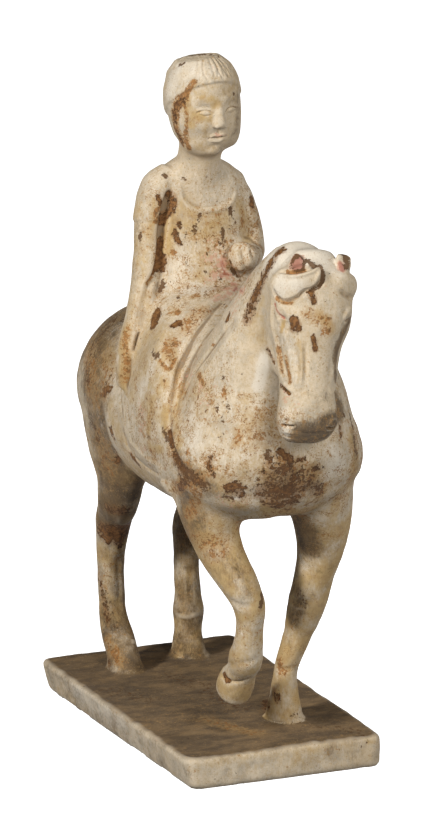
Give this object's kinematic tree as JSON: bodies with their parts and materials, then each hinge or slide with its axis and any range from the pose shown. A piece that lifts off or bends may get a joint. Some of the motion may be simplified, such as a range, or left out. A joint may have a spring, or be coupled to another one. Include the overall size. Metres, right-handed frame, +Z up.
{
  "type": "pottery horse and rider figure",
  "caption": "Standing pottery horse with a robed rider, fired as one piece on a flat rectangular plinth, in worn cream slip over clay.",
  "frame": {"origin": "middle of the plinth's underside", "axes": "+Z up, -Y the way the horse faces, +X the horse's left"},
  "size_m": [0.1165, 0.2768, 0.3781],
  "materials": {
    "painted_pottery": "matt cream slip, flaked and stained, over buff unglazed clay"
  },
  "bodies": {
    "root": {"horse_and_rider": "painted_pottery"}
  },
  "joints": []
}
